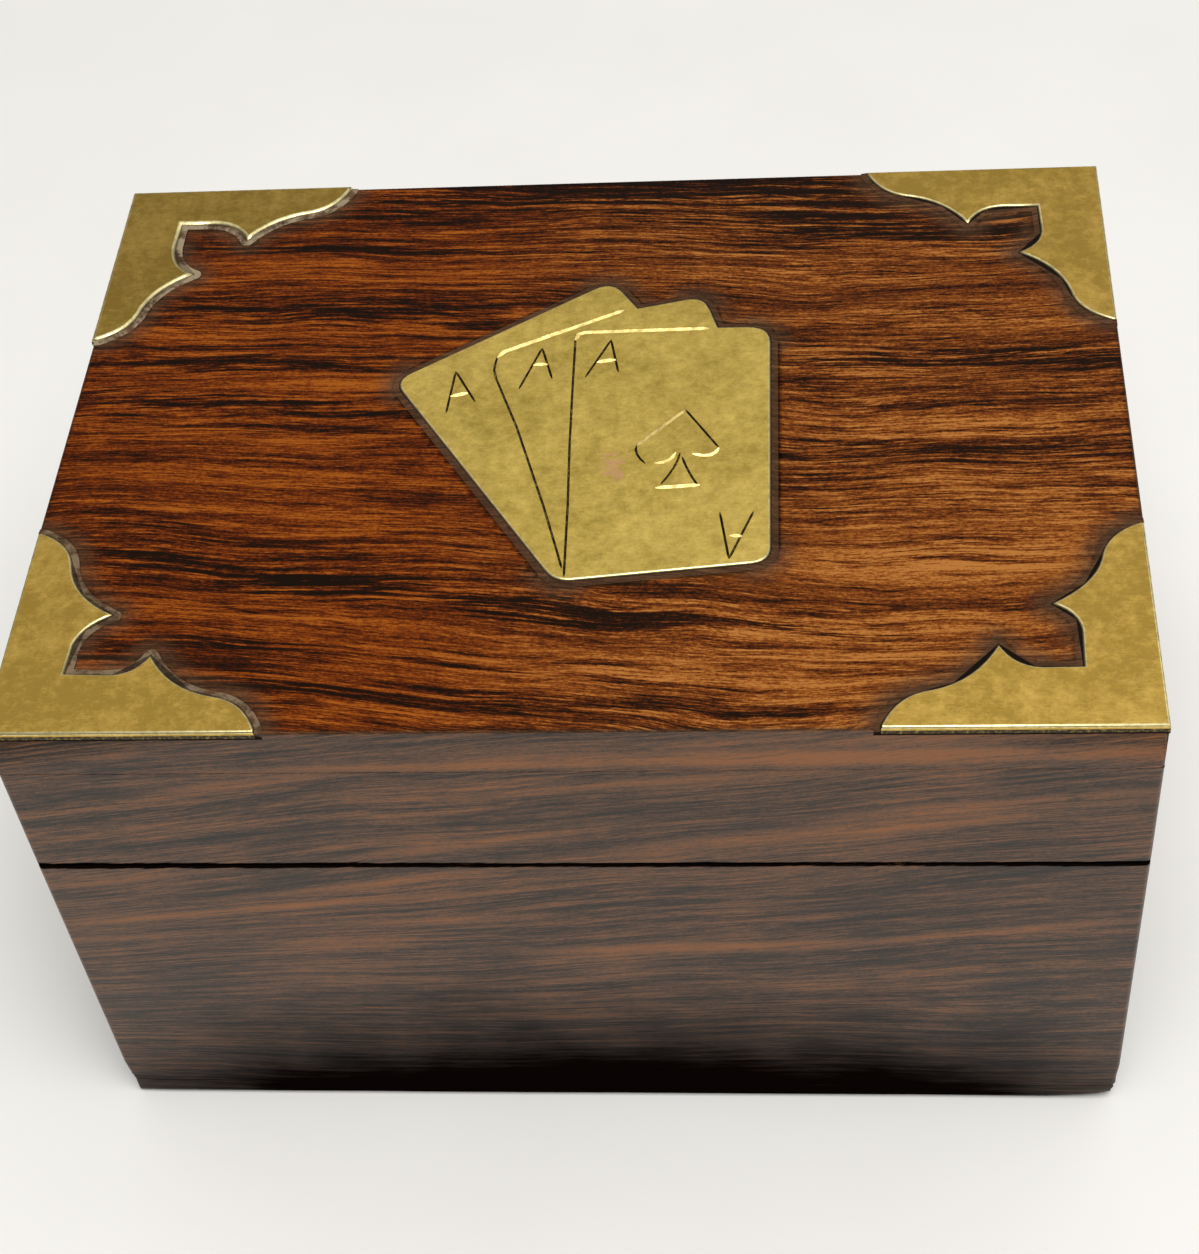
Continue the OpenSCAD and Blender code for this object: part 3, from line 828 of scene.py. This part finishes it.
class CARDBOX_OT_lid_board(bpy.types.Operator):
    """Model the lid board, with a rim around each pocket that takes the lac's stain"""

    bl_idname = "cardbox.lid_board"
    bl_label = "Lid board"

    def execute(self, context):
        sizes, colours = panel(context)
        piece = copy_of("lid_top_board", "lid_board_wood")

        def on_outline(edge):
            at = middle(edge)
            level = abs(at.z - WOOD_TOP) < TINY or abs(at.z - BOARD_UNDER) < TINY
            return outer_faces(at) + level > 1

        round_edges(piece, lambda edge: board_round(edge, sizes) if on_outline(edge) else 0.0)
        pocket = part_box("lac_card")[0].z
        rims = [v.co.copy() for pair in self.pocket_walls(piece, pocket) for v in pair
                if v.co.z > pocket + MM / 2]
        self.divide_top(piece, 1.3 * MM)
        self.stain(piece, rims, sizes.stain_reach)
        smooth(piece)
        mark_ends(piece, 0)
        for face in piece.data.polygons:
            if face.material_index == 0 and abs(face.normal.z) < 0.5 and abs(face.center.y) > OUT_Y - MM:
                face.material_index = 2
        finish_piece(piece, "lid_top_board", top_wood(colours), bpy.data.materials["rosewood end grain"],
                     wall_wood("rosewood lid edge", "XZY", colours, EDGE_WARM))
        return {"FINISHED"}

    @staticmethod
    def divide_top(piece, step):
        """Divides the upper face into small squares, whose corners can hold the stain."""
        def upper(face):
            return face.normal.z > 0.99 and face.verts[0].co.z > WOOD_TOP - TINY

        with editing(piece) as shape:
            for axis, reach in ((0, OUT_X), (1, OUT_Y)):
                last = int(reach / step) + 1
                for place in ((i + 0.5) * step for i in range(-last, last)):
                    if abs(place) < reach - step:
                        select_where(shape, shape.faces, upper)
                        bisect(place, axis)

    @staticmethod
    def pocket_walls(piece, pocket):
        """The upright edges of the pockets, each as its two vertices."""
        vertices = piece.data.vertices
        pairs = ([vertices[i] for i in edge.vertices] for edge in piece.data.edges)
        return [pair for pair in pairs
                if abs(pair[0].co.z - pair[1].co.z) > MM / 2 and min(v.co.z for v in pair) > pocket - TINY]

    @staticmethod
    def stain(piece, rims, reach):
        """Writes how near each vertex is to a pocket's rim, from 1 on it to 0 out of reach."""
        tree = KDTree(len(rims))
        for i, place in enumerate(rims):
            tree.insert(place, i)
        tree.balance()
        values = []
        for vertex in piece.data.vertices:
            distance = tree.find(vertex.co)[2]
            values.append(max(0.0, 1 - distance / reach) if vertex.co.z > WOOD_TOP - MM / 2 else 0.0)
        mark(piece, "lac_stain", values)


# --- Inlays ---


def filed_edges(piece, width):
    """Rounds the upper outline of an inlay, which stays bright, and parts its darker sides from it."""
    def outline(edge):
        if abs(middle(edge).z - BRASS_TOP) > TINY or abs(edge.verts[0].co.z - edge.verts[1].co.z) > TINY:
            return 0.0
        lowest = min(v.co.z for face in edge.link_faces for v in face.verts)
        return width if lowest < BRASS_UNDER + TINY else 0.0

    round_edges(piece, outline)
    cut_across(piece, SIDE_DARK, axis=2)
    for face in piece.data.polygons:
        tilt = abs(face.normal.z)
        if tilt < 0.02 and face.center.z < SIDE_DARK:
            face.material_index = 2
        elif tilt < 0.98 and face.center.z > BRASS_TOP - width - TINY:
            face.material_index = 1


class CARDBOX_OT_corner_plates(bpy.types.Operator):
    """Model the four brass corner plates"""

    bl_idname = "cardbox.corner_plates"
    bl_label = "Corner plates"

    def execute(self, context):
        sizes, colours = panel(context)
        brass = inlay_brass(colours, "inlay brass", 0.3)
        edge = bright_brass("filed brass edge", tuple(colours.brass_bright), 0.3)
        side = tarnished_brass(colours)
        for corner in CORNERS:
            node = f"corner_plate_{corner}"
            piece = copy_of(node, f"{node}_brass")
            filed_edges(piece, sizes.brass_round * (1.8 if corner == "back_left" else 1))
            smooth(piece)
            finish_piece(piece, node, brass, edge, side)
        return {"FINISHED"}


class CARDBOX_OT_card_plate(bpy.types.Operator):
    """Model the fanned cards, with their engraved lines cut to a V"""

    bl_idname = "cardbox.card_plate"
    bl_label = "Card plate"

    lip = 0.05 * MM
    fine_half = 0.15 * MM
    fine_depth = 0.2 * MM
    levels = 0.1 * MM

    def execute(self, context):
        sizes, colours = panel(context)
        piece = copy_of("card_plate", "card_plate_brass")
        filed_edges(piece, sizes.brass_round)
        with editing(piece) as shape:
            bottoms = [face for face in shape.faces if face.normal.z > 0.99
                       and BRASS_UNDER + TINY < self.level(face) < BRASS_TOP - self.levels]
            deepest = min(self.level(face) for face in bottoms)
            chisel = [face for face in bottoms if self.level(face) < deepest + self.levels / 2]
            fine = [face for face in bottoms if face not in chisel]
            self.slope_cuts(shape, chisel, deepest)
            bpy.ops.mesh.select_all(action="DESELECT")
            for face in bottoms:
                face.material_index = 2 if face in fine else 3
            select_where(shape, fine, lambda face: True)
            bpy.ops.transform.translate(value=(0, 0, BRASS_TOP - self.lip - self.level(fine[0])))
            bpy.ops.mesh.inset(thickness=self.fine_half, depth=-self.fine_depth)
        smooth(piece)
        finish_piece(piece, "card_plate", inlay_brass(colours, "stained inlay brass", 0.0, stained=True),
                     bpy.data.materials["filed brass edge"], bpy.data.materials["tarnished brass"],
                     bright_brass("cut brass", tuple(colours.brass_cut), 0.42))
        return {"FINISHED"}

    @staticmethod
    def level(face):
        return face.calc_center_median().z

    def slope_cuts(self, shape, bottoms, deepest):
        """Lifts the far side of each chisel cut's bottom, so that it slopes towards the front."""
        bpy.ops.mesh.select_all(action="DESELECT")
        bpy.ops.mesh.select_mode(type="VERT")
        for vertex in {v for face in bottoms for v in face.verts}:
            walls = [face.normal.y for face in vertex.link_faces if abs(face.normal.z) < 0.1]
            if walls and sum(walls) / len(walls) < -0.25:
                vertex.select_set(True)
        shape.select_flush_mode()
        bpy.ops.transform.translate(value=(0, 0, BRASS_TOP - self.lip - deepest))
        bpy.ops.mesh.select_mode(type="FACE")


class CARDBOX_OT_lac(bpy.types.Operator):
    """Model the lac that beds each inlay, pressed up against the brass"""

    bl_idname = "cardbox.lac"
    bl_label = "Lac"

    def execute(self, context):
        sizes, colours = panel(context)
        plain = lac_finish("dark lac", colours, 0.0)
        finishes = {"back_left": lac_finish("dusty lac", colours, 0.9),
                    "front_left": lac_finish("slightly dusty lac", colours, 0.45)}
        for place in (*CORNERS, "card"):
            node = f"lac_{place}"
            plate = "card_plate" if place == "card" else f"corner_plate_{place}"
            piece = copy_of(node, f"{node}_fill")
            against = {self.place(v.co) for v in frame["nodes"][plate].data.vertices}
            near = [v.co.z > WOOD_TOP - TINY and self.place(v.co) in against for v in piece.data.vertices]
            # The vertices against the brass, where the lac's finish paints a shadow line.
            mark(piece, "brass_shadow_line", [float(n) for n in near])
            mark(piece, "under_brass", [float(v.co.z < BRASS_UNDER + TINY) for v in piece.data.vertices])
            with editing(piece, "VERT") as shape:
                select_where(shape, shape.verts, lambda v: near[v.index])
                bpy.ops.transform.translate(value=(0, 0, sizes.lac_rise))
            smooth(piece, 50)
            finish_piece(piece, node, finishes.get(place, plain))
        return {"FINISHED"}

    @staticmethod
    def place(point):
        return round(point.x / TINY / 2), round(point.y / TINY / 2)


# --- Linings and hinges ---


class CARDBOX_OT_felt(bpy.types.Operator):
    """Lay the felt linings in the two wells and in the lid"""

    bl_idname = "cardbox.felt"
    bl_label = "Felt"

    grid = 1.5 * MM

    def execute(self, context):
        sizes, colours = panel(context)
        felt = felt_finish(colours)
        for node in ("felt_floor_left", "felt_floor_right", "felt_lid"):
            low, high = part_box(node)
            width, length = high.x - low.x, high.y - low.y
            bpy.ops.object.select_all(action="DESELECT")
            bpy.ops.mesh.primitive_grid_add(
                x_subdivisions=round(width / self.grid), y_subdivisions=round(length / self.grid), size=1,
                location=(low + high) / 2)
            bpy.context.object.scale = (width, length, 1)
            piece = placed(f"{node}_cloth")
            ruffle(piece, node, 6 * MM, sizes.nap, direction="Z")
            apply_modifier(piece, "SOLIDIFY", thickness=(high.z - low.z) - sizes.nap, offset=0)
            smooth(piece, 60)
            finish_piece(piece, node, felt)
        return {"FINISHED"}


class CARDBOX_OT_hinges(bpy.types.Operator):
    """Model the leaves, knuckles and pins of the two hinges"""

    bl_idname = "cardbox.hinges"
    bl_label = "Hinges"

    def execute(self, context):
        sizes, colours = panel(context)
        brass = bright_brass("hinge brass", tuple(0.8 * c for c in colours.brass_gold), 0.3)
        for hinge in HINGES:
            for kind in ("base", "lid"):
                node = f"{hinge}_{kind}_leaf"
                piece = copy_of(node, f"{node}_brass")
                round_corners(piece, sizes.hinge_round, 2)
                smooth(piece, 30)
                finish_piece(piece, node, brass)
            node = f"{hinge}_pin"
            low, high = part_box(node)
            radius = (high.z - low.z) / 2
            pin = rod(f"{node}_brass", (low.x, (low.y + high.y) / 2, (low.z + high.z) / 2), radius,
                      high.x - low.x, vertices=32)
            round_corners(pin, 0.3 * radius, 3)
            smooth(pin, 30)
            finish_piece(pin, node, brass)
        return {"FINISHED"}


class CARDBOX_OT_screws(bpy.types.Operator):
    """Model the countersunk slotted screws of the hinges"""

    bl_idname = "cardbox.screws"
    bl_label = "Screws"

    head_h = 0.85 * MM
    shank_r = 0.8 * MM
    tip_h = 1.8 * MM
    slot_w = 0.45 * MM
    slot_depth = 0.35 * MM
    thread_h = 0.9 * MM
    thread_out = 0.22 * MM

    def execute(self, context):
        brass = bright_brass("screw brass", tuple(panel(context)[1].brass_gold), 0.28)
        for hinge in HINGES:
            for kind, down in (("base", -1), ("lid", 1)):
                node = f"{hinge}_{kind}_screws"
                low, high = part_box(node)
                head_r = (high.y - low.y) / 2
                face = high.z if down < 0 else low.z
                y = (low.y + high.y) / 2
                pair = [self.screw(Vector((x, y, face)), down, head_r, high.z - low.z, turn)
                        for x, turn in ((low.x + head_r, -35), (high.x - head_r, 35))]
                pick(pair[0])
                pair[1].select_set(True)
                bpy.ops.object.join()
                pair[0].name = f"{node}_brass"
                smooth(pair[0], 30)
                finish_piece(pair[0], node, brass)
        return {"FINISHED"}

    def screw(self, face, down, head_r, length, turn):
        """One screw, whose head is level with face and whose shank goes down or up from it."""
        bpy.ops.object.select_all(action="DESELECT")
        bpy.ops.mesh.primitive_circle_add(vertices=32, radius=head_r, fill_type="NGON", location=face)
        piece = placed("screw")
        turns = int((length - self.head_h - self.tip_h) / self.thread_h)
        # Each ring of the outline: how far down, and its radius as a share of the last
        rings = [(self.head_h, self.shank_r / head_r)]
        wide = (self.shank_r - 0.01 * MM) / self.shank_r
        narrow = (self.shank_r - self.thread_out) / self.shank_r
        for _ in range(turns):
            rings += [(self.thread_h / 3, share) for share in (narrow, 1.0, 1 / narrow)]
        left = length - self.head_h - turns * self.thread_h
        rings += [(left - self.tip_h, wide), (self.tip_h, 0.12)]
        with editing(piece) as shape:
            bpy.ops.mesh.select_all(action="SELECT")
            for step, share in rings:
                bpy.ops.mesh.extrude_region_move(TRANSFORM_OT_translate={"value": (0, 0, down * step)})
                bpy.ops.transform.resize(value=(share, share, share))
            bpy.ops.mesh.select_all(action="SELECT")
            bpy.ops.mesh.normals_make_consistent(inside=False)
        half = Vector((2 * head_r, self.slot_w / 2, self.slot_depth))
        slot = block("slot cutter", -half, half)
        slot.rotation_euler.z = math.radians(turn)
        slot.location = face
        pick(slot)
        bpy.ops.object.transform_apply(location=True, rotation=True, scale=True)
        cut(piece, slot)
        return piece


# --- Stage ---


class CARDBOX_OT_stage(bpy.types.Operator):
    """Set the floor, the camera and the soft lights"""

    bl_idname = "cardbox.stage"
    bl_label = "Stage"

    def execute(self, context):
        scene = context.scene
        self.floor(scene)
        data = bpy.data.cameras.new("camera")
        data.lens = 69.45
        data.shift_y = -0.069
        camera = bpy.data.objects.new("camera", data)
        camera.location = (0.0348, -0.2443, 0.3311)
        camera.rotation_euler = [math.radians(a) for a in (42.83, 4.66, 3.13)]
        scene.collection.objects.link(camera)
        bpy.context.scene.camera = camera
        data = bpy.data.lights.new("window", "AREA")
        data.shape = "DISK"
        data.size = 0.8
        data.energy = 8.6
        light = bpy.data.objects.new("window", data)
        light.location = (0.15, -0.38, 1.08)
        light.rotation_euler = light.location.to_track_quat("Z", "Y").to_euler()
        scene.collection.objects.link(light)
        world = bpy.data.worlds.new("studio")
        world.use_nodes = True
        self.sky(Nodes(world.node_tree))
        scene.world = world
        scene.view_settings.view_transform = "Standard"
        return {"FINISHED"}

    @staticmethod
    def sky(f):
        """A pale room: bright overhead, darker low down and to the left."""
        x, y, z = f.parts(f.node("TexCoord", {}))
        light = f.calc("MULTIPLY", f.fade(z, 0.3, 1.0, 0.11, 0.82), f.fade(x, -1, 1, 0.75, 1.25))
        light = f.calc("MULTIPLY", light, f.fade(y, -1, 1, 0.7, 1.3))
        f.put(f.tree.nodes["Background"].inputs["Strength"], light)
        f.put(f.tree.nodes["Background"].inputs["Color"], (1.0, 0.99, 0.97, 1))

    @staticmethod
    def floor(scene):
        bpy.ops.object.select_all(action="DESELECT")
        bpy.ops.mesh.primitive_plane_add(size=30)
        floor = bpy.context.object
        floor.name = "pale_floor"
        f = Finish("pale floor", Specular_IOR_Level=0.2)
        tint = tuple(scene.card_box_colours.cloth)
        cloud = f.noise(f.point(), 0.02, 2)
        base = f.ramp(cloud, (0.3, tuple(0.97 * c for c in tint)), (0.7, tint))
        floor.data.materials.append(f.close(base, 0.8))


# --- Panel and main ---

STEPS = (
    CARDBOX_OT_stage, CARDBOX_OT_walls, CARDBOX_OT_floor_panel, CARDBOX_OT_divider, CARDBOX_OT_lid_board,
    CARDBOX_OT_corner_plates, CARDBOX_OT_card_plate, CARDBOX_OT_lac, CARDBOX_OT_felt,
    CARDBOX_OT_hinges, CARDBOX_OT_screws,
)


class CARDBOX_PT_panel(bpy.types.Panel):
    """Lists the sizes, the colours and the steps that model the box"""

    bl_label = "Card box"
    bl_idname = "CARDBOX_PT_panel"
    bl_space_type = "VIEW_3D"
    bl_region_type = "UI"
    bl_category = "Card box"

    def draw(self, context):
        for group in (context.scene.card_box_sizes, context.scene.card_box_colours):
            column = self.layout.column()
            for name in group.__annotations__:
                column.prop(group, name)
        for step in STEPS:
            self.layout.operator(step.bl_idname)


CLASSES = (CardBoxSizes, CardBoxColours, *STEPS, CARDBOX_PT_panel)


def register():
    for cls in CLASSES:
        bpy.utils.register_class(cls)
    bpy.types.Scene.card_box_sizes = bpy.props.PointerProperty(type=CardBoxSizes)
    bpy.types.Scene.card_box_colours = bpy.props.PointerProperty(type=CardBoxColours)


def unregister():
    del bpy.types.Scene.card_box_colours
    del bpy.types.Scene.card_box_sizes
    for cls in reversed(CLASSES):
        bpy.utils.unregister_class(cls)


def main():
    register()
    for step in STEPS:
        group, name = step.bl_idname.split(".")
        getattr(getattr(bpy.ops, group), name)()


if __name__ == "__main__":
    main()
